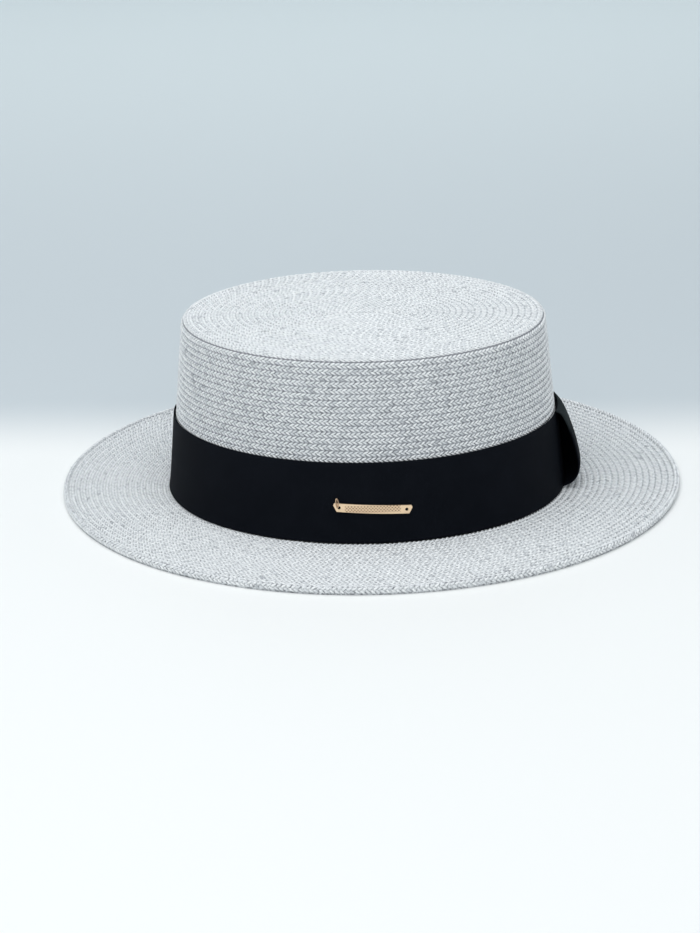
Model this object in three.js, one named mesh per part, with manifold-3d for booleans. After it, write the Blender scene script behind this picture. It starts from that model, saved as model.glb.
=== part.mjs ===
// Straw boater hat: a flat-topped oval crown and a flat brim of sewn braid, a rolled
// edge, a black ribbon with a loop wrapped over its join, and a small blank brass plate.
//
// Millimetres, +Z up. The origin is on the surface the hat rests on, under the middle of
// the brim. The plate is on the -Y side and the ribbon's loop is on the +X side.

import * as THREE from 'three';
import { mergeVertices } from 'three/addons/utils/BufferGeometryUtils.js';
import Module from 'manifold-3d';

const wasm = await Module();
wasm.setup();

// ---------------------------------------------------------------- driving dimensions

const GAP = 0.3; // between neighbouring pieces
const AROUND = 96; // facets round every oval

const STRAW = 1.7; // sewn braid wall
const RIBBON = 1.0; // ribbon wall

const EDGE_HEIGHT = 4.3; // braid turned on edge round the brim
const EDGE_WIDTH = 3.2;
const EDGE_FOOT = 1.6; // width of the flat strip it stands on
const BRIM_LIFT = 0.3; // underside of the brim above the resting surface, at the crown
const BRIM_RISE = 1.2; // how much higher the brim is where it meets its edge

const CROWN_FOOT = 96.6; // half-length of the crown, outside, where it meets the brim
const CROWN_TOP = 88.4; // the same just under the tip
const CROWN_HEIGHT = 88.6;
const TIP_RADIUS = 3.5; // rounding between the side and the tip

const RIBBON_WIDTH = 38.5;
const RIBBON_LIFT = GAP; // lower edge of the ribbon above the brim

// The plan of the hat, as half-sizes of the ovals it passes through from the middle
// outwards. `long` runs along X and `short` along Y; the shifts place the oval's centre.
const PLAN = [
  { long: 0, short: 0, shiftX: -1.8, shiftY: -6 },
  { long: 84, short: 72, shiftX: -1.8, shiftY: -6 },
  { long: 98, short: 86, shiftX: -1.8, shiftY: -6 },
  { long: 152.5, short: 147.5, shiftX: 0, shiftY: 0 },
];

// The loop of ribbon wrapped over the ribbon band where its ends meet. Its section runs from
// the band's upper edge to its lower one: `height` above the band's lower edge, `off` outwards.
const LOOP_ANGLE = -9.5; // degrees from +X towards +Y, where the loop's near edge lies
const LOOP_SECTION = [
  { height: 39.3, off: 0.9 },
  { height: 38.7, off: 2.0 },
  { height: 36.6, off: 3.4 },
  { height: 32.4, off: 5.1 },
  { height: 26.4, off: 6.7 },
  { height: 19.6, off: 8.1 },
  { height: 12.8, off: 8.9 },
  { height: 7.4, off: 8.3 },
  { height: 3.8, off: 6.1 },
  { height: 1.7, off: 3.1 },
  { height: 0.9, off: 0.9 },
];
const LOOP_LENGTH_STEPS = 26;
const LOOP_WIDTH_STEPS = 11;
const LOOP_PINCH = 0.1; // share of the fullness left at its far edge

// The plate's outline from its upper edge to its lower one.
const PLATE_OUTLINE = [
  { height: 4, length: 35.4 },
  { height: 3, length: 36.4 },
  { height: 1.7, length: 35.2 },
  { height: 0, length: 33.2 },
];
const PLATE_ANGLE = -86; // degrees from +X towards +Y, where the plate's middle lies
const PLATE_THICKNESS = 0.8;
const PLATE_CENTRE = 16.7; // height above the lower edge of the ribbon
const PLATE_SLANT = -0.05; // rise along the ribbon, as it was pinned on a little askew
const PLATE_HOLE = 0.75; // radius
const PLATE_HOLES = 31; // between the centres of the two holes
const PLATE_STEPS = 12;

// ---------------------------------------------------------------- materials

const straw = { color: 0xd3d9de, roughness: 0.62, metalness: 0 };
const FINISHES = {
  crown: straw,
  brim: straw,
  brim_edge: straw,
  ribbon_band: { color: 0x12151a, roughness: 0.85, metalness: 0 },
  ribbon_loop: { color: 0x12151a, roughness: 0.8, metalness: 0 },
  name_plate: { color: 0xd9b98c, roughness: 0.3, metalness: 1 },
};

// ---------------------------------------------------------------- the oval plan

function planAt(radius) {
  const found = PLAN.findIndex((row) => row.long >= radius);
  const outer = found < 0 ? PLAN.length - 1 : Math.max(1, found);
  const [low, high] = [PLAN[outer - 1], PLAN[outer]];
  const t = (radius - low.long) / (high.long - low.long);
  const blend = (key) => THREE.MathUtils.lerp(low[key], high[key], t);
  return { short: blend('short'), shiftX: blend('shiftX'), shiftY: blend('shiftY') };
}

// A point at a half-length, an angle round the oval and a height.
function ovalPoint(radius, angle, z) {
  const plan = planAt(radius);
  return new THREE.Vector3(
    plan.shiftX + radius * Math.cos(angle),
    plan.shiftY + plan.short * Math.sin(angle),
    z,
  );
}

// A profile of (half-length, height) points, turned round the oval plan.
function ovalTurn(profile) {
  const points = profile.map(([radius, z]) => new THREE.Vector2(radius, z));
  const geometry = new THREE.LatheGeometry(points, AROUND);
  const position = geometry.attributes.position;
  for (let i = 0; i < position.count; i += 1) {
    const [x, z, y] = [position.getX(i), position.getY(i), -position.getZ(i)];
    const point = ovalPoint(Math.hypot(x, y), Math.atan2(y, x), z);
    position.setXYZ(i, point.x, point.y, point.z);
  }
  return geometry;
}

// Points of an arc in a profile, angles in degrees.
function arc(centre, radius, from, to, steps) {
  const points = [];
  for (let i = 0; i <= steps; i += 1) {
    const angle = THREE.MathUtils.degToRad(THREE.MathUtils.lerp(from, to, i / steps));
    points.push([centre[0] + radius * Math.cos(angle), centre[1] + radius * Math.sin(angle)]);
  }
  return points;
}

// ---------------------------------------------------------------- sheets and solids

// A closed wall from a grid of { inner, outer } points. The rows follow one another downwards
// and each row runs anticlockwise round the hat, seen from above.
function thickSheet(grid) {
  const [rows, columns] = [grid.length, grid[0].length];
  const side = (key) => grid.flat().flatMap((pair) => pair[key].toArray());
  const count = rows * columns;
  const index = [];
  const quad = (a, b, c, d) => index.push(a, b, c, a, c, d);
  const at = (row, column) => row * columns + column;
  for (let row = 0; row + 1 < rows; row += 1) {
    for (let column = 0; column + 1 < columns; column += 1) {
      const corners = [
        at(row, column),
        at(row + 1, column),
        at(row + 1, column + 1),
        at(row, column + 1),
      ];
      quad(...corners.map((i) => i + count));
      quad(...corners.reverse());
    }
  }
  const border = [];
  for (let column = 0; column + 1 < columns; column += 1) border.push(at(0, column));
  for (let row = 0; row + 1 < rows; row += 1) border.push(at(row, columns - 1));
  for (let column = columns - 1; column > 0; column -= 1) border.push(at(rows - 1, column));
  for (let row = rows - 1; row > 0; row -= 1) border.push(at(row, 0));
  border.forEach((here, i) => {
    const next = border[(i + 1) % border.length];
    quad(here + count, next + count, next, here);
  });
  const geometry = new THREE.BufferGeometry();
  const positions = [...side('inner'), ...side('outer')];
  geometry.setAttribute('position', new THREE.Float32BufferAttribute(positions, 3));
  geometry.setIndex(index);
  return geometry;
}

function toSolid(geometry) {
  const bare = new THREE.BufferGeometry();
  bare.setAttribute('position', geometry.attributes.position);
  bare.setIndex(geometry.index);
  const merged = mergeVertices(bare, 1e-4);
  const vertProperties = new Float32Array(merged.attributes.position.array);
  const triVerts = new Uint32Array(merged.index.array);
  return new wasm.Manifold(new wasm.Mesh({ numProp: 3, vertProperties, triVerts }));
}

function fromSolid(solid) {
  const mesh = solid.getMesh();
  const geometry = new THREE.BufferGeometry();
  geometry.setAttribute('position', new THREE.Float32BufferAttribute(mesh.vertProperties, 3));
  geometry.setIndex(new THREE.BufferAttribute(new Uint32Array(mesh.triVerts), 1));
  return geometry;
}

// ---------------------------------------------------------------- straw pieces

const BRIM_TOP = BRIM_LIFT + STRAW;
const BRIM_OUTER = PLAN[PLAN.length - 1].long;
const WALL_BASE = BRIM_TOP + GAP;

// Half-length of the crown's outside at a height.
function crownRadius(z) {
  const t = (z - WALL_BASE) / (CROWN_HEIGHT - TIP_RADIUS - WALL_BASE);
  return THREE.MathUtils.lerp(CROWN_FOOT, CROWN_TOP, t);
}

function crown() {
  const shoulder = CROWN_HEIGHT - TIP_RADIUS;
  const centre = [crownRadius(shoulder) - TIP_RADIUS, shoulder];
  const inside = arc(centre, TIP_RADIUS - STRAW, 90, 0, 3);
  const outside = arc(centre, TIP_RADIUS, 0, 90, 5);
  return ovalTurn([
    [0, CROWN_HEIGHT - STRAW],
    [centre[0] / 2, CROWN_HEIGHT - STRAW],
    ...inside,
    [CROWN_FOOT - STRAW, WALL_BASE],
    [CROWN_FOOT, WALL_BASE],
    ...outside,
    [centre[0] / 2, CROWN_HEIGHT],
    [0, CROWN_HEIGHT],
  ]);
}

function brim() {
  const inner = CROWN_FOOT - STRAW;
  const outer = BRIM_OUTER - EDGE_WIDTH - GAP;
  const bend = CROWN_FOOT + 3 * RIBBON;
  return ovalTurn([
    [inner, BRIM_LIFT],
    [bend, BRIM_LIFT],
    [outer, BRIM_LIFT + BRIM_RISE],
    [outer, BRIM_TOP + BRIM_RISE],
    [bend, BRIM_TOP],
    [inner, BRIM_TOP],
    [inner, BRIM_LIFT],
  ]);
}

function brimEdge() {
  const middle = BRIM_OUTER - EDGE_WIDTH / 2;
  const round = EDGE_WIDTH / 2;
  const foot = EDGE_FOOT / 2;
  const belly = [middle, EDGE_HEIGHT - round];
  return ovalTurn([
    [middle - foot, 0],
    [middle + foot, 0],
    [middle + round, round * 0.7],
    ...arc(belly, round, 0, 180, 6),
    [middle - round, round * 0.7],
    [middle - foot, 0],
  ]);
}

// ---------------------------------------------------------------- ribbon pieces

const RIBBON_BASE = BRIM_TOP + RIBBON_LIFT;

function ribbonBand() {
  const top = RIBBON_BASE + RIBBON_WIDTH;
  const [low, high] = [crownRadius(RIBBON_BASE) + GAP, crownRadius(top) + GAP];
  return ovalTurn([
    [low, RIBBON_BASE],
    [low + RIBBON, RIBBON_BASE],
    [high + RIBBON, top],
    [high, top],
    [low, RIBBON_BASE],
  ]);
}

// A point on or off the outside of the ribbon band: an angle round the oval, a height
// above the band's lower edge, and a distance outwards.
function onBand(angle, height, off) {
  const z = RIBBON_BASE + height;
  const radius = crownRadius(z) + GAP + RIBBON;
  const point = ovalPoint(radius, angle, z);
  const normal = new THREE.Vector3(
    planAt(radius).short * Math.cos(angle),
    radius * Math.sin(angle),
    0,
  ).normalize();
  return point.addScaledVector(normal, off);
}

// The angle reached after going a distance along the band from another angle.
function angleAlong(start, distance) {
  const steps = 24;
  const height = RIBBON_WIDTH / 2;
  let angle = start;
  for (let i = 0; i < steps; i += 1) {
    const probe = 1e-3;
    const speed = onBand(angle, height, 0).distanceTo(onBand(angle + probe, height, 0)) / probe;
    angle += distance / steps / speed;
  }
  return angle;
}

// The wrapped loop: a strip as wide as the ribbon, bent over the band.
function ribbonLoop() {
  const near = THREE.MathUtils.degToRad(LOOP_ANGLE);
  const bends = LOOP_SECTION.map((row) => new THREE.Vector3(row.off, row.height, 0));
  const middle = new THREE.CatmullRomCurve3(bends, false, 'centripetal');
  const close = bends[0].x;
  const grid = [];
  for (let i = 0; i <= LOOP_LENGTH_STEPS; i += 1) {
    const point = middle.getPointAt(i / LOOP_LENGTH_STEPS);
    const tangent = middle.getTangentAt(i / LOOP_LENGTH_STEPS);
    const across = new THREE.Vector3(-tangent.y, tangent.x, 0).multiplyScalar(RIBBON / 2);
    const row = [];
    for (let j = 0; j <= LOOP_WIDTH_STEPS; j += 1) {
      const along = (RIBBON_WIDTH * j) / LOOP_WIDTH_STEPS;
      const angle = angleAlong(near, along);
      const fullness = THREE.MathUtils.lerp(1, LOOP_PINCH, (along / RIBBON_WIDTH) ** 2);
      const bent = point.clone().setX(close + (point.x - close) * fullness);
      const [inner, outer] = [bent.clone().sub(across), bent.clone().add(across)];
      row.push({
        inner: onBand(angle, inner.y, inner.x),
        outer: onBand(angle, outer.y, outer.x),
      });
    }
    grid.push(row);
  }
  return thickSheet(grid);
}

// ---------------------------------------------------------------- plate

const PLATE_MIDDLE = THREE.MathUtils.degToRad(PLATE_ANGLE);

function namePlate() {
  const low = PLATE_CENTRE - PLATE_OUTLINE[0].height / 2;
  const grid = PLATE_OUTLINE.map(({ height, length }) => {
    const row = [];
    for (let i = 0; i <= PLATE_STEPS; i += 1) {
      const along = length * (i / PLATE_STEPS - 0.5);
      const angle = angleAlong(PLATE_MIDDLE, along);
      const level = low + height + PLATE_SLANT * along;
      row.push({
        inner: onBand(angle, level, GAP),
        outer: onBand(angle, level, GAP + PLATE_THICKNESS),
      });
    }
    return row;
  });
  let plate = toSolid(thickSheet(grid));
  for (const side of [-1, 1]) {
    plate = plate.subtract(plateHole((side * PLATE_HOLES) / 2));
  }
  return fromSolid(plate);
}

function plateHole(along) {
  const angle = angleAlong(PLATE_MIDDLE, along);
  const level = PLATE_CENTRE + PLATE_SLANT * along;
  const [inside, outside] = [onBand(angle, level, -2), onBand(angle, level, 4)];
  const direction = outside.clone().sub(inside);
  const pin = new THREE.CylinderGeometry(PLATE_HOLE, PLATE_HOLE, direction.length(), 16);
  const up = new THREE.Vector3(0, 1, 0);
  pin.applyQuaternion(new THREE.Quaternion().setFromUnitVectors(up, direction.normalize()));
  pin.translate(...inside.add(outside).multiplyScalar(0.5).toArray());
  return toSolid(pin);
}

// ---------------------------------------------------------------- assembly

function addPiece(group, name, geometry) {
  const mesh = new THREE.Mesh(geometry, new THREE.MeshStandardMaterial(FINISHES[name]));
  mesh.name = name;
  group.add(mesh);
}

const body = new THREE.Group();
addPiece(body, 'crown', crown());
addPiece(body, 'brim', brim());
addPiece(body, 'brim_edge', brimEdge());

const trim = new THREE.Group();
addPiece(trim, 'ribbon_band', ribbonBand());
addPiece(trim, 'ribbon_loop', ribbonLoop());
addPiece(trim, 'name_plate', namePlate());

const hat = new THREE.Group();
hat.name = 'straw_boater_hat';
hat.add(body, trim);

export default hat;
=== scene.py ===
"""Straw boater hat: sewn plait crown and brim, black ribbon, small blank brass plate.

Metres, +Z up. The origin is on the resting surface, under the middle of the brim.
"""

import math

import bpy
import numpy as np
from bpy.props import (
    FloatProperty,
    FloatVectorProperty,
    IntProperty,
    PointerProperty,
)
from mathutils import Matrix, Vector


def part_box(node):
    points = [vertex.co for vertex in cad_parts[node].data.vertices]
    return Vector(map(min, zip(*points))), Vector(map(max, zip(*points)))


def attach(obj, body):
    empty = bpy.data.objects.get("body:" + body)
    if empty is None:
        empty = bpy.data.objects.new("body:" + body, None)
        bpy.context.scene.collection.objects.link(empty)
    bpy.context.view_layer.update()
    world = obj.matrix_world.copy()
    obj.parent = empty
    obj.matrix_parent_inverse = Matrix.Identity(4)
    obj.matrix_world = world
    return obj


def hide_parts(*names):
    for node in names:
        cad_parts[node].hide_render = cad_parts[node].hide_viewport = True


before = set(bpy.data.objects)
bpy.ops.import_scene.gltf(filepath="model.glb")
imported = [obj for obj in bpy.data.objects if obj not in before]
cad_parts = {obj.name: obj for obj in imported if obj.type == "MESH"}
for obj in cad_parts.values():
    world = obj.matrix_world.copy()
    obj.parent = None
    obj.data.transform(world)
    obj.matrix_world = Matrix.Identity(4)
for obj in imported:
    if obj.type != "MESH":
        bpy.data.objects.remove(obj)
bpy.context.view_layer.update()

bl_info = {
    "name": "Straw Boater Hat",
    "version": (1, 0, 0),
    "blender": (4, 5, 0),
    "location": "View3D > Sidebar > Boater",
    "description": "Builds a straw boater hat of sewn plait with a black ribbon",
    "category": "Add Mesh",
}

MM = 0.001


# ------------------------------------------------------------------ sizes of the hat


def middle(node):
    """Middle and half-sizes of a CAD node's box."""
    low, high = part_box(node)
    return (low + high) / 2, (high - low) / 2


CROWN_MIDDLE, CROWN_HALF = middle("crown")
CROWN_BASE, CROWN_HEIGHT = (corner.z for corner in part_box("crown"))
BRIM_UNDER, BRIM_CREST = (corner.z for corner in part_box("brim"))
EDGE_HALF = middle("brim_edge")[1]
EDGE_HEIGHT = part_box("brim_edge")[1].z
BAND_FOOT, BAND_TOP = (corner.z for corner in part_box("ribbon_band"))
PLATE_MIDDLE, PLATE_HALF = middle("name_plate")

WALL = 1.7 * MM  # sewn plait
TIP_ROUND = 3.5 * MM  # rounding between the side of the crown and its tip
TIP_SHORT = 76.4 * MM  # short half-size of the crown just under the tip
OVAL = CROWN_HALF.x - CROWN_HALF.y  # how much longer than wide the crown's ovals are
BRIM_BEND = CROWN_HALF.y + 3 * MM  # short half-size where the brim starts to rise
PLAN_START = CROWN_HALF.y + 1.4 * MM  # short half-size where the brim's ovals start to change
EDGE_WIDTH = 3.2 * MM
GAP = 0.3 * MM
TIP_SEAM = 0.32 * MM  # groove between the tip's last row and the side's first


def plan(short):
    """Long half-size and centre of the oval with a short half-size."""
    t = np.clip((short - PLAN_START) / (EDGE_HALF.y - PLAN_START), 0, 1)
    long = short + OVAL + (EDGE_HALF.x - EDGE_HALF.y - OVAL) * t
    return long, CROWN_MIDDLE.x * (1 - t), CROWN_MIDDLE.y * (1 - t)


def arc(centre, radius, start, end, steps):
    """Points of an arc, angles in degrees."""
    turns = np.radians(np.linspace(start, end, steps + 1))
    return [(centre[0] + radius * math.cos(a), centre[1] + radius * math.sin(a)) for a in turns]


class Surface:
    """A wall turned round the hat's oval plan.

    Its profile holds (short half-size, height) points. With facing 1 the wall's front is on
    the left of the profile's direction, so a profile that goes outwards faces up.
    """

    def __init__(self, profile, facing=1):
        self.points = np.array(profile, float)
        self.facing = facing
        steps = np.hypot(*np.diff(self.points, axis=0).T)
        self.along = np.concatenate([[0], np.cumsum(steps)])
        self.length = self.along[-1]

    def at(self, angle, along, lift=0.0):
        """Points at angles round the oval and distances along the profile, lifted off it."""
        reach = 0.4 * MM
        angle, along, lift = np.broadcast_arrays(angle, along, lift)
        short, z = (np.interp(along, self.along, self.points[:, k]) for k in (0, 1))
        ahead = [np.interp(along + reach, self.along, self.points[:, k]) for k in (0, 1)]
        behind = [np.interp(along - reach, self.along, self.points[:, k]) for k in (0, 1)]
        out, rise = ahead[0] - behind[0], ahead[1] - behind[1]
        size = np.hypot(out, rise) + 1e-12
        level, up = -rise / size * self.facing * lift, out / size * self.facing * lift
        long, x, y = plan(short)
        cos, sin = np.cos(angle), np.sin(angle)
        side = np.hypot(short * cos, long * sin) + 1e-12
        return np.stack(
            [
                x + long * cos + level * short * cos / side,
                y + short * sin + level * long * sin / side,
                z + up,
            ],
            axis=-1,
        )

    def reach(self, height):
        """Distance along a profile that goes down to where it is at a height."""
        order = np.argsort(self.points[:, 1])
        return float(np.interp(height, self.points[order, 1], self.along[order]))


def crown_profile(inset):
    """From the middle of the tip out over the edge and down the side, a depth inside it."""
    shoulder = CROWN_HEIGHT - TIP_ROUND
    centre = (TIP_SHORT - TIP_ROUND, shoulder)
    tip = [(t * centre[0], CROWN_HEIGHT - inset) for t in np.linspace(0, 0.98, 8)]
    edge = arc(centre, TIP_ROUND - inset, 90, 0, 8)
    foot = (CROWN_HALF.y - inset, CROWN_BASE)
    return [*tip, *edge, foot]


def brim_profile(inset, top):
    """From the crown out to the rim, on the brim's top or its underside."""
    rise = BRIM_CREST - BRIM_UNDER - WALL
    level = BRIM_UNDER + WALL - inset if top else BRIM_UNDER + inset
    return [
        (CROWN_HALF.y - WALL, level),
        (BRIM_BEND, level),
        (EDGE_HALF.y - EDGE_WIDTH + GAP, level + rise),
    ]


def edge_profile(inset):
    """Over the rim, from its inner side to its outer one."""
    round_size = EDGE_WIDTH / 2
    centre = (EDGE_HALF.y - round_size, EDGE_HEIGHT - round_size)
    return [
        (centre[0] - 0.4 * round_size, inset + 0.1 * MM),
        (centre[0] - round_size + inset, 0.7 * round_size),
        *arc(centre, round_size - inset, 180, 0, 10),
        (centre[0] + round_size - inset, 0.7 * round_size),
        (centre[0] + 0.5 * round_size, inset + 0.1 * MM),
    ]


# ------------------------------------------------------------------ meshes


def make_piece(name, points, faces, finish, marks=None):
    """A smooth mesh object that rides on the hat, with equal points welded.

    marks holds a value a point for each name that the finish reads.
    """
    points = np.asarray(points, float).reshape(-1, 3)
    keys, index = np.unique(np.round(points / 1e-7).astype(np.int64), axis=0, return_inverse=True)
    index = index.reshape(-1)
    kept = np.zeros(len(keys), int)
    kept[index] = np.arange(len(points))
    lists = []
    for face in faces:
        corners = [int(index[i]) for i in face]
        corners = [c for i, c in enumerate(corners) if c != corners[i - 1]]
        if len(set(corners)) > 2:
            lists.append(corners)
    mesh = bpy.data.meshes.new(name)
    mesh.from_pydata(points[kept].tolist(), [], lists)
    mesh.materials.append(finish)
    mesh.shade_smooth()
    for key, values in (marks or {}).items():
        values = np.asarray(values, np.float32)[kept]
        mesh.attributes.new(key, "FLOAT", "POINT").data.foreach_set("value", values)
    piece = bpy.data.objects.new(name, mesh)
    bpy.context.scene.collection.objects.link(piece)
    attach(piece, "root")
    return piece


def grid_faces(rows, columns, start=0, wraps=True, flip=False):
    """Faces of a grid of points whose rows follow one another."""
    faces = []
    for i in range(rows - 1):
        for j in range(columns if wraps else columns - 1):
            k = (j + 1) % columns
            face = [i * columns + j, (i + 1) * columns + j, (i + 1) * columns + k, i * columns + k]
            faces.append([start + c for c in (face[::-1] if flip else face)])
    return faces


def turned_solid(front, back, around):
    """Points and faces of a closed wall between two profiles of (short half-size, height)."""
    angles = np.linspace(0, 2 * math.pi, around, endpoint=False)
    loop = [*front, *back[::-1], front[0]]
    rings = []
    for short, z in loop:
        long, x, y = plan(np.array(short))
        z = np.full(around, z)
        rings.append(np.stack([x + long * np.cos(angles), y + short * np.sin(angles), z], -1))
    return np.concatenate(rings), grid_faces(len(loop), around)


def thick_sheet(outer, inner, wraps):
    """Points and faces of a closed sheet from the grids of its two sides."""
    rows, columns = outer.shape[:2]
    count = rows * columns
    points = np.concatenate([outer.reshape(-1, 3), inner.reshape(-1, 3)])
    faces = grid_faces(rows, columns, 0, wraps) + grid_faces(rows, columns, count, wraps, True)
    last = (rows - 1) * columns
    for j in range(columns if wraps else columns - 1):
        k = (j + 1) % columns
        faces.append([count + j, j, k, count + k])
        faces.append([last + j, count + last + j, count + last + k, last + k])
    if not wraps:
        for i in range(rows - 1):
            a, b = i * columns, (i + 1) * columns
            faces.append([a, count + a, count + b, b])
            c, d = a + columns - 1, b + columns - 1
            faces.append([c, d, count + d, count + c])
    return points, faces


def tube(line, radius, sides):
    """Points of a round tube along a closed line, ring after ring."""
    forward = np.roll(line, -1, axis=0) - np.roll(line, 1, axis=0)
    forward /= np.linalg.norm(forward, axis=1, keepdims=True)
    first = np.cross(forward, line.mean(axis=0) - line)
    first /= np.linalg.norm(first, axis=1, keepdims=True)
    second = np.cross(forward, first)
    turns = np.linspace(0, 2 * math.pi, sides, endpoint=False)[None, :, None]
    rings = first[:, None] * np.cos(turns) + second[:, None] * np.sin(turns)
    return line[:, None] + radius * rings


# ------------------------------------------------------------------ plait

# One straw of the plait from the seam to the middle of its row, as stations along it: how
# far along the row and across it as shares of the repeat and of half the row, its
# half-width as a share of the repeat, and its height as a share of the relief.
STRAW_STATIONS = np.array(
    [
        [-0.40, 0.95, 0.30, 0.22],
        [-0.02, 0.52, 0.45, 1.00],
        [0.36, -0.04, 0.40, 0.80],
    ]
)
# Painted shade and light along one straw: darkest at its seam end and a little lighter over its
# crest, as shares of the seams' painted shade.
STRAW_PAINTED_SHADING = np.array([-1.0, 0.2, 0.0])  # shade at each station, as shares of the seam's


def straw_shape(unit, relief, side):
    """Points and faces of one straw: along, across as a share of half the row, and lift."""
    along, across, width, height = STRAW_STATIONS.T
    low = np.full(len(along), -0.12 * relief)
    rows = [
        [along * unit - width * unit, across * side, low],
        [along * unit, across * side, height * relief],
        [along * unit + width * unit, across * side, low],
    ]
    points = np.array(rows).transpose(2, 0, 1).reshape(-1, 3)
    faces = []
    for station in range(len(along) - 1):
        for k in range(3):
            a, b = station * 3 + k, station * 3 + (k + 1) % 3
            faces.append([a, b, b + 3, a + 3])
    last = (len(along) - 1) * 3
    faces.append([2, 1, 0])
    faces.append([last, last + 1, last + 2])
    faces = [face if side > 0 else face[::-1] for face in faces]
    return points, faces


def lay_plait(surface, line, turns, straw, seam, seed):
    """Points, faces and tones with painted shade of a plait that follows a line round a surface.

    After a number of turns, line gives the distance along the profile and half the
    plait's width. seam is how much darker the straws are painted where
    rows meet, as painted shade, and how much they differ from one another.
    """
    rng = np.random.default_rng(seed)
    start, end = turns
    steps = int((end - start) * 480) + 1
    turn = np.linspace(start, end, steps)
    path = surface.at(-2 * math.pi * turn, line(turn)[0])
    along = np.concatenate([[0], np.cumsum(np.linalg.norm(np.diff(path, axis=0), axis=1))])
    count = int(round(along[-1] / straw.repeat))
    unit = along[-1] / count
    points, faces, tones_and_shade = [], [], []
    base = 0
    for side, offset in ((1, 0.25), (-1, 0.75)):
        shape, pattern = straw_shape(unit, straw.relief, side)
        if surface.facing < 0:
            pattern = [face[::-1] for face in pattern]
        where = (np.arange(count) + offset) * unit
        where = where + rng.normal(0, 0.03 * unit, count)
        stretch = 1 + rng.normal(0, 0.06, (count, 1))
        height = 1 + rng.normal(0, 0.12, (count, 1))
        lean = rng.normal(0, 0.05 * unit, (count, 1))
        du = shape[:, 0] * stretch + lean * (shape[:, 1] - 0.5 * side)
        at = np.clip(where[:, None] + du, 0, along[-1])
        t = np.interp(at, along, turn)
        middles, halves = line(t)
        m = middles + halves * shape[:, 1]
        points.append(surface.at(-2 * math.pi * t, m, shape[:, 2] * height).reshape(-1, 3))
        indices = np.arange(count)[:, None, None] * len(shape)
        quads = np.array([face for face in pattern if len(face) == 4])
        caps = np.array([face for face in pattern if len(face) == 3])
        faces.extend((indices + quads + base).reshape(-1, 4).tolist())
        faces.extend((indices + caps + base).reshape(-1, 3).tolist())
        second = (np.arange(count) + (side + 1) // 2) % 2
        tone = 0.58 + rng.normal(0, 0.06 + straw.spread * seam, count)
        tone = tone + straw.alternate * (1 - 2 * second)
        flecks = rng.random(count) < straw.fleck_share
        tone = np.where(flecks, rng.uniform(-0.25, 0.15, count), tone)
        # Each straw's own tone plus the painted shade at its seam end and painted light over its
        # crest.
        tones_and_shade.append((tone[:, None] + seam * np.repeat(STRAW_PAINTED_SHADING, 3)).reshape(-1))
        base += count * len(shape)
    return np.concatenate(points), faces, np.concatenate(tones_and_shade)


def plait_piece(name, strips, straw, seam, finish):
    """One object from several strips of plait."""
    points, faces, tones_and_shade = [], [], []
    for number, (surface, line, turns) in enumerate(strips):
        strip = lay_plait(surface, line, turns, straw, seam, len(name) * 31 + number)
        base = sum(len(p) for p in points)
        points.append(strip[0])
        faces.extend([[c + base for c in face] for face in strip[1]])
        tones_and_shade.append(strip[2])
    # The tone attribute holds each straw's own tone plus the painted shade and light along it.
    marks = {"tone": np.concatenate(tones_and_shade)}
    return make_piece(name, np.concatenate(points), faces, finish, marks)


def spiral(turns, edge):
    """A line from the middle out to an edge, whose last turn narrows to nothing against it."""
    pitch = edge / turns

    def line(turn):
        narrowing = np.clip(turn - (turns - 1), 0, 1)
        outer = np.minimum(pitch * (turn + 1), edge)
        half = pitch / 2 * (1 - 0.97 * narrowing)
        return np.maximum(outer - half, 0.45 * pitch), half

    return line


def row(inner, outer):
    """A line that stays between two distances along the profile."""
    return lambda turn: (np.full(np.shape(turn), (inner + outer) / 2), (outer - inner) / 2)


def rows(surface, start, end, width):
    """Strips of plait side by side between two distances along the profile."""
    count = max(1, round((end - start) / width))
    steps = np.linspace(start, end, count + 1)
    ends = enumerate(zip(steps[:-1], steps[1:]))
    return [(surface, row(*pair), (0.37 * n, 0.37 * n + 1)) for n, pair in ends]


# ------------------------------------------------------------------ finishes


class Wire:
    """A number from a node's socket, usable in sums."""

    def __init__(self, finish, socket):
        self.finish = finish
        self.socket = socket

    def join(self, operation, *values):
        """A Math node's result."""
        sockets = {i: value for i, value in enumerate(values)}
        return self.finish.node("ShaderNodeMath", {"operation": operation}, sockets)

    def __add__(self, other):
        return self.join("ADD", self, other)

    __radd__ = __add__

    def __mul__(self, other):
        return self.join("MULTIPLY", self, other)

    __rmul__ = __mul__

    def __sub__(self, other):
        return self.join("SUBTRACT", self, other)

    def __rsub__(self, other):
        return self.join("SUBTRACT", other, self)

    def __truediv__(self, other):
        return self.join("DIVIDE", self, other)

    def __rtruediv__(self, other):
        return self.join("DIVIDE", other, self)

    def __gt__(self, other):
        return self.join("GREATER_THAN", self, other)

    def __lt__(self, other):
        return self.join("LESS_THAN", self, other)

    def __abs__(self):
        return self.join("ABSOLUTE", self)

    def wave(self, repeat):
        """0 to 1 and back over each repeat."""
        return self.join("SINE", self * (2 * math.pi / repeat)) * 0.5 + 0.5

    def within(self, low, high):
        """0 below low and 1 above high."""
        settings = {"interpolation_type": "SMOOTHSTEP"}
        sockets = {"Value": self, "From Min": low, "From Max": high}
        return self.finish.node("ShaderNodeMapRange", settings, sockets)


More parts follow.
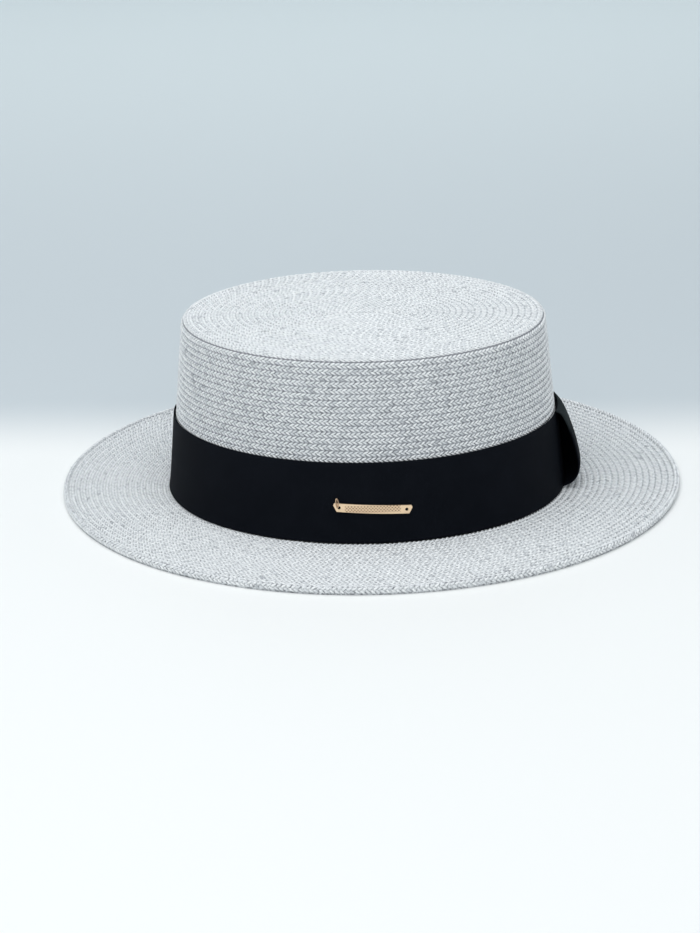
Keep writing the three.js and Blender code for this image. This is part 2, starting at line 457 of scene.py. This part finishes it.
class Finish:
    """A material and its Principled shader."""

    def __init__(self, name, **constants):
        self.material = bpy.data.materials.new(name)
        self.material.use_nodes = True
        self.tree = self.material.node_tree
        self.tree.nodes.clear()
        self.shader = self.tree.nodes.new("ShaderNodeBsdfPrincipled")
        output = self.tree.nodes.new("ShaderNodeOutputMaterial")
        self.tree.links.new(self.shader.outputs[0], output.inputs[0])
        for socket, value in constants.items():
            self.shader.inputs[socket.replace("_", " ")].default_value = value

    def node(self, kind, settings=None, sockets=None, output=0):
        """A node of any type: its settings first, then the values or links of its sockets."""
        node = self.tree.nodes.new(kind)
        for key, value in (settings or {}).items():
            setattr(node, key, value)
        for key, value in (sockets or {}).items():
            if isinstance(value, Wire):
                self.tree.links.new(value.socket, node.inputs[key])
            else:
                node.inputs[key].default_value = value
        return Wire(self, node.outputs[output])

    def mix(self, share, first, second):
        """A colour between two others."""
        settings = {"data_type": "RGBA", "blend_type": "MIX"}
        return self.node("ShaderNodeMix", settings, {0: share, 6: first, 7: second}, 2)

    def attribute(self, name):
        return self.node("ShaderNodeAttribute", {"attribute_name": name}, output="Fac")

    def noise(self, scale, detail=2.0, stretch=(1, 1, 1)):
        """Cloudy noise over the object, scale in repeats a metre."""
        place = self.node("ShaderNodeTexCoord", output="Object")
        sized = self.node("ShaderNodeMapping", sockets={0: place, 3: stretch})
        sockets = {"Vector": sized, "Scale": scale, "Detail": detail}
        return self.node("ShaderNodeTexNoise", sockets=sockets)

    def axis(self, name):
        """One of the object's coordinates, in metres."""
        place = self.node("ShaderNodeTexCoord", output="Object")
        return self.node("ShaderNodeSeparateXYZ", sockets={0: place}, output=name)

    def feed(self, socket, value):
        self.tree.links.new(value.socket, self.shader.inputs[socket])

    def bump(self, height, depth, strength=1.0):
        """Relief in metres from a 0 to 1 height."""
        sockets = {"Height": height, "Distance": depth, "Strength": strength}
        self.feed("Normal", self.node("ShaderNodeBump", sockets=sockets))


def rgb(colour):
    """A colour with full alpha."""
    return (*colour, 1.0)


def straw_finish(straw):
    """Satin straws that differ in tone, with grey flecks, fine fibre and painted seam shade."""
    finish = Finish("straw_plait", IOR=1.45, Sheen_Weight=0.12, Sheen_Roughness=0.5)
    # The tone attribute carries painted shade at the seams and painted light over the crests, as
    # well as each straw's tone.
    tone = finish.attribute("tone")
    fibre = finish.noise(2600, 3.0)
    cloud = finish.noise(55, 2.0)
    light = tone + (fibre - 0.5) * 0.5 + (cloud - 0.5) * 0.12
    pale = finish.mix(light.within(0.1, 0.95), rgb(straw.colour), rgb(straw.pale))
    colour = finish.mix(light.within(-0.55, 0.2), rgb(straw.fleck), pale)
    finish.feed("Base Color", colour)
    finish.feed("Roughness", 0.42 + fibre * 0.3)
    finish.bump(fibre, 0.06 * MM)
    return finish.material


def backing_finish(straw):
    """The plait's under layer, seen between the straws, with painted shade: paler on the tip, brim
    and rim.
    """
    finish = Finish("straw_backing", IOR=1.4)
    fibre = finish.noise(900, 4.0)
    z = finish.axis("Z")
    below_tip = 1 - z.within(CROWN_HEIGHT - TIP_ROUND, CROWN_HEIGHT - straw.relief)
    # Painted shade: the under layer on the crown's side is painted darker than on the flat tip,
    # brim and rim.
    upright = z.within(BRIM_CREST + 2 * MM, BRIM_CREST + 4 * MM) * below_tip
    # Painted shade in the groove round the tip's edge; the same dark colour also shows where the
    # fibre noise is low.
    edge = abs(z - (CROWN_HEIGHT - straw.relief - 0.3 * TIP_ROUND))
    shade = fibre.within(0.3, 0.7) * edge.within(0.5 * TIP_SEAM, 1.5 * TIP_SEAM)
    colour = finish.mix(upright, rgb(straw.flat_backing), rgb(straw.shaded_backing))
    finish.feed("Base Color", finish.mix(shade, rgb(straw.seam), colour))
    finish.feed("Roughness", 0.7 + fibre * 0.2)
    finish.bump(fibre, 0.25 * MM)
    return finish.material


def ribbon_finish(ribbon, painted_light_length=0.0):
    """Matt black ribbon with fine ribs across it and a plain edge.

    With a length, the ribbon is painted greyer over that much of it: painted light on the loop's
    top.
    """
    finish = Finish("black_ribbon", IOR=1.22, Specular_IOR_Level=0.3)
    along, across = finish.attribute("along"), finish.attribute("across")
    ribs = along.wave(ribbon.rib)
    threads = across.wave(0.22 * MM)
    cloud = finish.noise(70, 3.0)
    lint = finish.noise(1500, 3.0)
    selvedge = abs(across - ribbon.width / 2) > (ribbon.width / 2 - 0.9 * MM)
    worn = cloud.within(0.35, 0.75) * 0.6 + lint.within(0.55, 0.8) * 0.4
    colour = finish.mix(worn, rgb(ribbon.colour), rgb(ribbon.worn))
    # Painted light on the top of the loop's bend.
    if painted_light_length:
        painted_light = 1 - along.within(0.5 * painted_light_length, painted_light_length)
        colour = finish.mix(painted_light, colour, rgb(ribbon.painted_light))
    finish.feed("Base Color", colour)
    finish.feed("Roughness", 0.68 + cloud * 0.2)
    relief = ribs * (1 - selvedge) * 0.6 + threads * 0.2 + selvedge * 0.5
    finish.bump(relief, 0.07 * MM, 0.8)
    return finish.material


def plate_finish(plate):
    """Brushed rose brass with a finely hatched field between its holes."""
    finish = Finish("rose_brass", IOR=1.5)
    x, z = finish.axis("X"), finish.axis("Z")
    side = abs(x - PLATE_MIDDLE.x) / PLATE_HALF.x
    height = abs(z - PLATE_MIDDLE.z) / PLATE_HALF.z
    field = (1 - side.within(0.68, 0.72)) * (1 - height.within(0.5, 0.66))
    brushed = finish.noise(500, 3.0, (12, 12, 1))
    hatch = (x + z).wave(1.5 * MM) * (x - z).wave(1.5 * MM)
    worked = field * hatch.within(0.1, 0.5)
    shade = worked * 0.75 + field * 0.1
    finish.feed("Base Color", finish.mix(shade, rgb(plate.colour), rgb(plate.worked)))
    finish.feed("Metallic", 1.0 - worked * 0.3)
    finish.feed("Roughness", 0.24 + brushed * 0.16 + worked * 0.3)
    finish.bump(brushed * 0.2 + 1 - worked, 0.05 * MM)
    return finish.material


def thread_finish(plate):
    """Twisted gilt thread."""
    finish = Finish("gilt_thread", IOR=1.5, Metallic=0.7)
    twist = finish.noise(2500, 2.0, (1, 1, 3))
    finish.feed("Base Color", finish.mix(twist, rgb(plate.worked), rgb(plate.colour)))
    finish.feed("Roughness", 0.3 + twist * 0.3)
    finish.bump(twist, 0.05 * MM)
    return finish.material


# ------------------------------------------------------------------ settings


class BoaterStraw(bpy.types.PropertyGroup):
    """Sizes and colours of the plait."""

    row: FloatProperty(
        name="Row",
        description="Width of one row of plait on the crown",
        default=3.0 * MM,
        unit="LENGTH",
    )
    brim_row: FloatProperty(
        name="Brim row",
        description="Width of one row of plait on the brim, along its longest way out",
        default=3.3 * MM,
        unit="LENGTH",
    )
    repeat: FloatProperty(
        name="Repeat",
        description="Length of one repeat of the plait",
        default=2.3 * MM,
        unit="LENGTH",
    )
    relief: FloatProperty(
        name="Relief",
        description="How far the straws stand out of the under layer",
        default=0.5 * MM,
        unit="LENGTH",
    )
    fleck_share: FloatProperty(
        name="Flecks",
        description="Share of the straws that are grey",
        default=0.02,
        subtype="FACTOR",
    )
    around: IntProperty(
        name="Facets",
        description="Facets round the ovals of the under layer",
        default=256,
    )
    colour: FloatVectorProperty(
        name="Straw",
        description="Colour of most straws",
        default=(0.67, 0.700, 0.725),
        subtype="COLOR",
    )
    pale: FloatVectorProperty(
        name="Pale straw",
        description="Colour of the lightest straws",
        default=(0.90, 0.925, 0.935),
        subtype="COLOR",
    )
    fleck: FloatVectorProperty(
        name="Fleck",
        description="Colour of the grey straws",
        default=(0.36, 0.38, 0.41),
        subtype="COLOR",
    )
    # Painted shade: the under layer on the crown's side, painted darker than on the flat parts.
    shaded_backing: FloatVectorProperty(
        name="Under layer",
        description="Colour of the under layer between the straws",
        default=(0.46, 0.48, 0.51),
        subtype="COLOR",
    )
    flat_backing: FloatVectorProperty(
        name="Flat under layer",
        description="The same on the tip, the brim and the rim",
        default=(0.80, 0.83, 0.85),
        subtype="COLOR",
    )
    # Painted shade: the under layer's colour in the groove round the tip's edge and where the
    # fibre noise is low.
    seam: FloatVectorProperty(
        name="Seam",
        description="Colour of the under layer in its darkest places",
        default=(0.20, 0.21, 0.23),
        subtype="COLOR",
    )
    spread: FloatProperty(
        name="Spread",
        description="How much the straws differ in tone, as a share of the seams' shade",
        default=0.28,
        subtype="FACTOR",
    )
    alternate: FloatProperty(
        name="Alternate",
        description="How much each second straw differs in tone",
        default=0.13,
        subtype="FACTOR",
    )
    # Painted shade where rows meet on the crown's side.
    seam_shade: FloatProperty(
        name="Side seams",
        description="How much darker the straws are in the seams of the crown's side",
        default=0.46,
        subtype="FACTOR",
    )
    # Painted shade where rows meet on the tip and the brim.
    flat_seam_shade: FloatProperty(
        name="Flat seams",
        description="The same on the tip and the brim",
        default=0.11,
        subtype="FACTOR",
    )


class BoaterRibbon(bpy.types.PropertyGroup):
    """Sizes and colours of the ribbon."""

    width: FloatProperty(
        name="Width",
        description="Width of the ribbon",
        default=BAND_TOP - BAND_FOOT,
        unit="LENGTH",
    )
    thickness: FloatProperty(
        name="Thickness",
        description="Thickness of the ribbon",
        default=0.7 * MM,
        unit="LENGTH",
    )
    rib: FloatProperty(
        name="Rib",
        description="Width of one rib",
        default=0.6 * MM,
        unit="LENGTH",
    )
    flare: FloatProperty(
        name="Flare",
        description="How far the ribbon's lower edge stands off",
        default=0.6 * MM,
        unit="LENGTH",
    )
    colour: FloatVectorProperty(
        name="Ribbon",
        description="Colour of the ribbon",
        default=(0.0020, 0.0032, 0.0060),
        subtype="COLOR",
    )
    worn: FloatVectorProperty(
        name="Worn ribbon",
        description="Colour of the ribbon where it catches lint",
        default=(0.0045, 0.0060, 0.0095),
        subtype="COLOR",
    )
    # Painted light: colour of the top of the loop's bend, where the light falls on it.
    painted_light: FloatVectorProperty(
        name="Ribbon's painted light",
        description="Colour of the ribbon over the bend of the loop",
        default=(0.016, 0.021, 0.023),
        subtype="COLOR",
    )


class BoaterPlate(bpy.types.PropertyGroup):
    """Colours of the plate."""

    colour: FloatVectorProperty(
        name="Plate",
        description="Colour of the polished brass",
        default=(0.93, 0.70, 0.47),
        subtype="COLOR",
    )
    worked: FloatVectorProperty(
        name="Worked field",
        description="Colour of the worked field",
        default=(0.26, 0.15, 0.09),
        subtype="COLOR",
    )


class BoaterStudio(bpy.types.PropertyGroup):
    """Floor, backdrop, lights and camera."""

    floor: FloatVectorProperty(
        name="Floor",
        description="Colour of the floor",
        default=(0.845, 0.86, 0.855),
        subtype="COLOR",
    )
    backdrop: FloatVectorProperty(
        name="Backdrop",
        description="Colour of the backdrop",
        default=(0.525, 0.578, 0.61),
        subtype="COLOR",
    )
    # Painted light: the far floor is painted lighter, where the lamps' light falls off.
    far_painted_light: FloatVectorProperty(
        name="Far floor painted light",
        description="Colour of the far end of the floor",
        default=(0.79, 0.86, 0.875),
        subtype="COLOR",
    )
    ambient: FloatProperty(
        name="Ambient", description="Strength of the light from all round", default=0.60
    )
    key: FloatProperty(
        name="Key", description="Power of the light overhead", default=14.8, unit="POWER"
    )
    fill: FloatProperty(
        name="Fill", description="Power of the light in front", default=5.2, unit="POWER"
    )
    lens: FloatProperty(
        name="Lens", description="Focal length in millimetres", default=95.93
    )
    azimuth: FloatProperty(
        name="Azimuth",
        description="Turn of the view away from +Y",
        default=math.radians(-3.26),
        subtype="ANGLE",
    )
    elevation: FloatProperty(
        name="Elevation",
        description="Angle of the view below the horizontal",
        default=math.radians(20.34),
        subtype="ANGLE",
    )
    roll: FloatProperty(
        name="Roll",
        description="Turn of the picture about the view",
        default=math.radians(-1.47),
        subtype="ANGLE",
    )
    distance: FloatProperty(
        name="Distance", description="From the camera to its aim", default=1.25604, unit="LENGTH"
    )
    aim: FloatVectorProperty(
        name="Aim",
        description="Point at the middle of the picture",
        default=(-0.01129, 0.01711, 0.0),
        subtype="XYZ",
    )


# ------------------------------------------------------------------ pieces


class CrownOperator(bpy.types.Operator):
    """Build the crown: its under layer and the plait on both of its faces"""

    bl_idname = "boater.crown"
    bl_label = "Crown"

    def execute(self, context):
        straw = context.scene.boater_straw
        finish, shaded_backing = straw_finish(straw), backing_finish(straw)
        depth = straw.relief
        front, back = crown_profile(depth), crown_profile(WALL - depth)
        points, faces = turned_solid(front, back, straw.around)
        body = make_piece("crown_body", points, faces, shaded_backing)
        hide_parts("crown")
        outside, inside = Surface(front), Surface(back, -1)
        edge = outside.reach(CROWN_HEIGHT - depth - 0.3 * TIP_ROUND)
        turns = round(edge / straw.row)
        tip = [(outside, spiral(turns, edge - TIP_SEAM / 2), (-0.5, turns))]
        end = outside.reach(BAND_TOP - 4 * MM)
        side = rows(outside, edge + TIP_SEAM / 2, end, straw.row)
        # Painted shade in the seams: slight on the tip, stronger on the side.
        plait_piece("crown_tip_plait", tip, straw, straw.flat_seam_shade, finish)
        plait_piece("crown_side_plait", side, straw, straw.seam_shade, finish)
        corner = inside.reach(CROWN_HEIGHT - WALL - 0.2 * TIP_ROUND)
        lining = rows(inside, 0.2 * MM, corner, straw.row)
        wall = rows(inside, corner, inside.length - 0.5 * MM, straw.row)
        # The same painted seam shade inside the crown.
        plait_piece("crown_inner_tip_plait", lining, straw, straw.flat_seam_shade, finish)
        plait_piece("crown_inner_side_plait", wall, straw, straw.seam_shade, finish)
        return {"FINISHED"}


class BrimOperator(bpy.types.Operator):
    """Build the brim: its under layer and the plait on both of its faces"""

    bl_idname = "boater.brim"
    bl_label = "Brim"

    def execute(self, context):
        straw = context.scene.boater_straw
        finish, shaded_backing = straw_finish(straw), backing_finish(straw)
        depth = straw.relief
        front, back = brim_profile(depth, True), brim_profile(depth, False)
        points, faces = turned_solid(front, back, straw.around)
        body = make_piece("brim_body", points, faces, shaded_backing)
        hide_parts("brim")
        top = Surface(front)
        strips = rows(top, WALL, top.length, straw.brim_row)
        # Painted shade in the seams of both faces of the brim, slight as on the tip.
        plait_piece("brim_plait", strips, straw, straw.flat_seam_shade, finish)
        under = Surface(back, -1)
        strips = rows(under, 0, under.length, straw.brim_row)
        plait_piece("brim_under_plait", strips, straw, straw.flat_seam_shade, finish)
        return {"FINISHED"}


class RimOperator(bpy.types.Operator):
    """Build the rim: a row of plait turned on edge round the brim"""

    bl_idname = "boater.rim"
    bl_label = "Rim"

    def execute(self, context):
        straw = context.scene.boater_straw
        finish, shaded_backing = straw_finish(straw), backing_finish(straw)
        profile = edge_profile(straw.relief)
        foot = [(short, 0.05 * MM) for short, z in (profile[-1], profile[0])]
        points, faces = turned_solid(profile, foot[::-1], straw.around)
        body = make_piece("rim_body", points, faces, shaded_backing)
        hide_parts("brim_edge")
        over = Surface(profile)
        split = 0.55 * over.length
        strips = [
            (over, row(0.15 * over.length, split), (0.0, 1.0)),
            (over, row(split, over.length), (0.3, 1.3)),
        ]
        # The rim's painted seam shade lies halfway between the brim's and the side's.
        plait_piece("rim_plait", strips, straw, (straw.flat_seam_shade + straw.seam_shade) / 2, finish)
        return {"FINISHED"}


def band_surface():
    """The outside of the crown's side, a gap away, going down."""
    side = crown_profile(0)[-2:]
    return Surface([(short + GAP, z) for short, z in side])


class RibbonOperator(bpy.types.Operator):
    """Build the ribbon round the crown"""

    bl_idname = "boater.ribbon"
    bl_label = "Ribbon"

    def execute(self, context):
        ribbon = context.scene.boater_ribbon
        surface = band_surface()
        around = 288
        angles = np.linspace(0, 2 * math.pi, around, endpoint=False)
        heights = np.concatenate([[0, 0.4, 1.0, 2.0, 3.5], np.linspace(6, 37.5, 9), [38.1, 38.5]])
        heights = heights[::-1] * MM
        turn, height = np.meshgrid(angles, heights)
        along = surface.reach(BAND_FOOT) - height
        flare = ribbon.flare * np.clip(1 - height / (4 * MM), 0, 1) ** 2
        flare = flare * (0.7 + 0.3 * np.cos(3 * turn + 0.6))
        ease = 0.12 * MM * (1 + np.sin(5 * turn + 1.3) * np.sin(2 * turn + height * 90))
        lift = ribbon.thickness + flare + ease
        outer = surface.at(turn, along, lift)
        inner = surface.at(turn, along, lift - ribbon.thickness)
        outer[0], outer[-1] = (outer[0] + inner[0]) / 2, (outer[-1] + inner[-1]) / 2
        inner[0], inner[-1] = outer[0], outer[-1]
        points, faces = thick_sheet(outer, inner, True)
        ring = surface.at(angles, surface.reach((BAND_FOOT + BAND_TOP) / 2))
        steps = np.linalg.norm(np.roll(ring, -1, axis=0) - ring, axis=1)
        run = np.cumsum(steps) - steps
        marks = {
            "along": np.tile(np.broadcast_to(run, turn.shape).reshape(-1), 2),
            "across": np.tile(height.reshape(-1), 2),
        }
        finish = ribbon_finish(ribbon)
        band = make_piece("hatband", points, faces, finish, marks)
        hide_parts("ribbon_band")
        return {"FINISHED"}


# The bend of the loop from the ribbon's upper edge to its lower one: height above the
# ribbon's foot and distance off the ribbon, in millimetres.
LOOP_BEND = (
    (39.2, 0.1),
    (39.1, 1.3),
    (38.1, 2.6),
    (36.2, 3.7),
    (32.2, 5.2),
    (26.4, 6.8),
    (19.6, 8.2),
    (12.8, 9.0),
    (7.4, 8.4),
    (4.2, 6.6),
    (2.2, 4.0),
    (1.1, 1.6),
    (0.9, 0.15),
)
LOOP_START = -9.5  # degrees, where the loop's near edge lies
LOOP_LIFT = 1.0 * MM  # from the crown's side to where the table's distances start
LOOP_PRESSED = 1.32 * MM  # from the crown's side to the middle of the pressed edge


class LoopOperator(bpy.types.Operator):
    """Build the loop over the ribbon's join, full at its near edge and pressed at its far one"""

    bl_idname = "boater.loop"
    bl_label = "Ribbon loop"

    def execute(self, context):
        ribbon = context.scene.boater_ribbon
        surface = band_surface()
        bend = np.array(LOOP_BEND) * MM
        path = np.concatenate([[0], np.cumsum(np.hypot(*np.diff(bend, axis=0).T))])
        steps, columns = 54, 26
        walk = np.linspace(0, path[-1], steps + 1)
        bend = np.stack([np.interp(walk, path, bend[:, k]) for k in (0, 1)], axis=-1)
        for _ in range(6):
            bend[1:-1] = (bend[:-2] + 2 * bend[1:-1] + bend[2:]) / 4
        slope = np.gradient(bend, axis=0)
        slope /= np.linalg.norm(slope, axis=1, keepdims=True)
        out = np.stack([slope[:, 1], -slope[:, 0]], axis=-1)
        fine = np.linspace(math.radians(LOOP_START), math.radians(60), 600)
        ring = surface.at(fine, surface.reach((BAND_FOOT + BAND_TOP) / 2))
        run = np.concatenate([[0], np.cumsum(np.linalg.norm(np.diff(ring, axis=0), axis=1))])
        width = np.linspace(0, ribbon.width, columns + 1)
        turn = np.interp(width, run, fine)
        shape = (steps + 1, columns + 1)
        grids = []
        for half in (0.5, -0.5):
            line = bend + out * half * ribbon.thickness
            high, off = (np.broadcast_to(line[:, k, None], shape) for k in (0, 1))
            wide = np.broadcast_to(turn, shape)
            opened = LOOP_LIFT + off
            pressed = LOOP_PRESSED + off - bend[:, 1, None]
            fullness = 1 - (width / ribbon.width) ** 2
            along = surface.reach(BAND_FOOT) - high
            grids.append(surface.at(wide, along, pressed + (opened - pressed) * fullness))
        points, faces = thick_sheet(grids[0], grids[1], False)
        marks = {
            "along": np.tile(np.broadcast_to(walk[:, None], shape).reshape(-1), 2),
            "across": np.tile(np.broadcast_to(width, shape).reshape(-1), 2),
        }
        # Painted light over the top 16 mm of the loop's bend.
        finish = ribbon_finish(ribbon, 16 * MM)
        loop = make_piece("ribbon_loop_wrap", points, faces, finish, marks)
        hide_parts("ribbon_loop")
        return {"FINISHED"}


class PlateOperator(bpy.types.Operator):
    """Finish the plate and pin it to the ribbon"""

    bl_idname = "boater.plate"
    bl_label = "Plate"

    def execute(self, context):
        plate = context.scene.boater_plate
        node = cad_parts["name_plate"]
        node.data.materials.clear()
        node.data.materials.append(plate_finish(plate))
        # a ring of gilt thread over the plate's upper corner, round its hole
        surface = band_surface()
        hole = PLATE_MIDDLE.x - 15.5 * MM
        foot = PLATE_MIDDLE.z + 0.9 * MM
        long = plan(CROWN_HALF.y + GAP)[0]
        round_steps, ring_steps = 40, 10
        steps = np.linspace(0, 2 * math.pi, round_steps, endpoint=False)
        across = hole - 0.9 * MM - 0.5 * MM * np.cos(steps) - 0.25 * MM * np.sin(steps)
        up = foot + 2.0 * MM + 2.1 * MM * np.sin(steps)
        out = 2.5 * MM + 0.45 * MM * np.cos(steps)
        angle = -np.arccos((across - CROWN_MIDDLE.x) / long)
        line = surface.at(angle, surface.along[-1] - (up - surface.points[-1, 1]), out)
        points = tube(line, 0.27 * MM, ring_steps)
        faces = [
            [
                i * ring_steps + j,
                i * ring_steps + (j + 1) % ring_steps,
                (i + 1) % round_steps * ring_steps + (j + 1) % ring_steps,
                (i + 1) % round_steps * ring_steps + j,
            ]
            for i in range(round_steps)
            for j in range(ring_steps)
        ]
        make_piece("plate_thread", points, faces, thread_finish(plate))
        return {"FINISHED"}


# ------------------------------------------------------------------ studio


def stage_mesh(name, points, faces, finish):
    """A mesh object that belongs to the studio."""
    mesh = bpy.data.meshes.new(name)
    mesh.from_pydata(points, [], faces)
    mesh.materials.append(finish)
    mesh.shade_smooth()
    thing = bpy.data.objects.new(name, mesh)
    bpy.context.scene.collection.objects.link(thing)
    return thing


def soft_light(name, place, aim, size, power):
    """A square light that points at a place."""
    light = bpy.data.lights.new(name, "AREA")
    light.shape = "RECTANGLE"
    light.size, light.size_y = size
    light.energy = power
    lamp = bpy.data.objects.new(name, light)
    lamp.location = place
    lamp.rotation_euler = (Vector(aim) - Vector(place)).to_track_quat("-Z", "Y").to_euler()
    bpy.context.scene.collection.objects.link(lamp)
    return lamp


class StudioOperator(bpy.types.Operator):
    """Build the floor, the backdrop, the lights and the camera"""

    bl_idname = "boater.studio"
    bl_label = "Studio"

    def execute(self, context):
        studio = context.scene.boater_studio
        floor = Finish("floor", Roughness=0.6)
        away = floor.axis("Y")
        # Painted light: from 0.2 m back the floor is painted lighter with distance, where the
        # lamps' light falls off.
        behind = floor.mix(away.within(0.2, 1.4), rgb(studio.backdrop), rgb(studio.far_painted_light))
        near = away.within(0.03, 0.13)
        floor.feed("Base Color", floor.mix(near, rgb(studio.floor), behind))
        wide, deep = 3.0, 1.6
        corners = [(-wide, -wide, 0), (wide, -wide, 0), (wide, deep, 0), (-wide, deep, 0)]
        stage_mesh("floor", corners, [(0, 1, 2, 3)], floor.material)

        # Painted light: the backdrop glows with its own colour and is painted lighter towards its
        # top.
        wall = Finish("backdrop", Roughness=0.9, Emission_Strength=0.26)
        wall.shader.inputs["Emission Color"].default_value = rgb(studio.backdrop)
        height = wall.axis("Z").within(0.0, 1.2)
        high = [min(c * 1.25, 0.95) for c in studio.backdrop]
        wall.feed("Base Color", wall.mix(height, rgb(studio.backdrop), rgb(high)))
        rise = [(-wide, deep, 0), (wide, deep, 0), (wide, deep, 2.6), (-wide, deep, 2.6)]
        stage_mesh("backdrop", rise, [(0, 1, 2, 3)], wall.material)

        world = bpy.data.worlds.new("studio")
        world.use_nodes = True
        ambient = world.node_tree.nodes["Background"]
        ambient.inputs[0].default_value = (0.93, 0.97, 1.0, 1.0)
        ambient.inputs[1].default_value = studio.ambient
        context.scene.world = world
        soft_light("key", (-0.25, -0.15, 1.5), (0, 0, 0.03), (1.6, 1.4), studio.key)
        soft_light("fill", (0.2, -1.6, 0.8), (0, 0, 0.05), (1.4, 1.0), studio.fill)

        azimuth, elevation, roll = studio.azimuth, studio.elevation, studio.roll
        forward = Vector(
            (
                math.sin(azimuth) * math.cos(elevation),
                math.cos(azimuth) * math.cos(elevation),
                -math.sin(elevation),
            )
        )
        level_right = Vector((math.cos(azimuth), -math.sin(azimuth), 0))
        level_up = level_right.cross(forward)
        right = math.cos(roll) * level_right + math.sin(roll) * level_up
        up = math.cos(roll) * level_up - math.sin(roll) * level_right
        camera = bpy.data.objects.new("camera", bpy.data.cameras.new("camera"))
        camera.data.lens = studio.lens
        camera.data.clip_end = 20
        turn = Matrix((right, up, -forward)).transposed().to_4x4()
        camera.matrix_world = (
            Matrix.Translation(Vector(studio.aim) - forward * studio.distance) @ turn
        )
        context.scene.collection.objects.link(camera)
        context.scene.camera = camera
        context.scene.view_settings.view_transform = "Standard"
        return {"FINISHED"}


# ------------------------------------------------------------------ add-on


class BoaterPanel(bpy.types.Panel):
    """Settings and pieces of the boater hat"""

    bl_idname = "VIEW3D_PT_boater"
    bl_label = "Straw Boater Hat"
    bl_space_type = "VIEW_3D"
    bl_region_type = "UI"
    bl_category = "Boater"

    def draw(self, context):
        for name in SETTINGS:
            group = getattr(context.scene, name)
            box = self.layout.box()
            for key in group.bl_rna.properties.keys():
                if key not in {"rna_type", "name"}:
                    box.prop(group, key)
        for operator in PIECES:
            self.layout.operator(operator.bl_idname)


SETTINGS = {
    "boater_straw": BoaterStraw,
    "boater_ribbon": BoaterRibbon,
    "boater_plate": BoaterPlate,
    "boater_studio": BoaterStudio,
}
PIECES = (
    CrownOperator,
    BrimOperator,
    RimOperator,
    RibbonOperator,
    LoopOperator,
    PlateOperator,
    StudioOperator,
)
CLASSES = (*SETTINGS.values(), *PIECES, BoaterPanel)


def register():
    for cls in CLASSES:
        bpy.utils.register_class(cls)
    for name, group in SETTINGS.items():
        setattr(bpy.types.Scene, name, PointerProperty(type=group))


def unregister():
    for name in SETTINGS:
        delattr(bpy.types.Scene, name)
    for cls in reversed(CLASSES):
        bpy.utils.unregister_class(cls)


def main():
    register()
    bpy.ops.boater.crown()
    bpy.ops.boater.brim()
    bpy.ops.boater.rim()
    bpy.ops.boater.ribbon()
    bpy.ops.boater.loop()
    bpy.ops.boater.plate()
    bpy.ops.boater.studio()


if __name__ == "__main__":
    main()
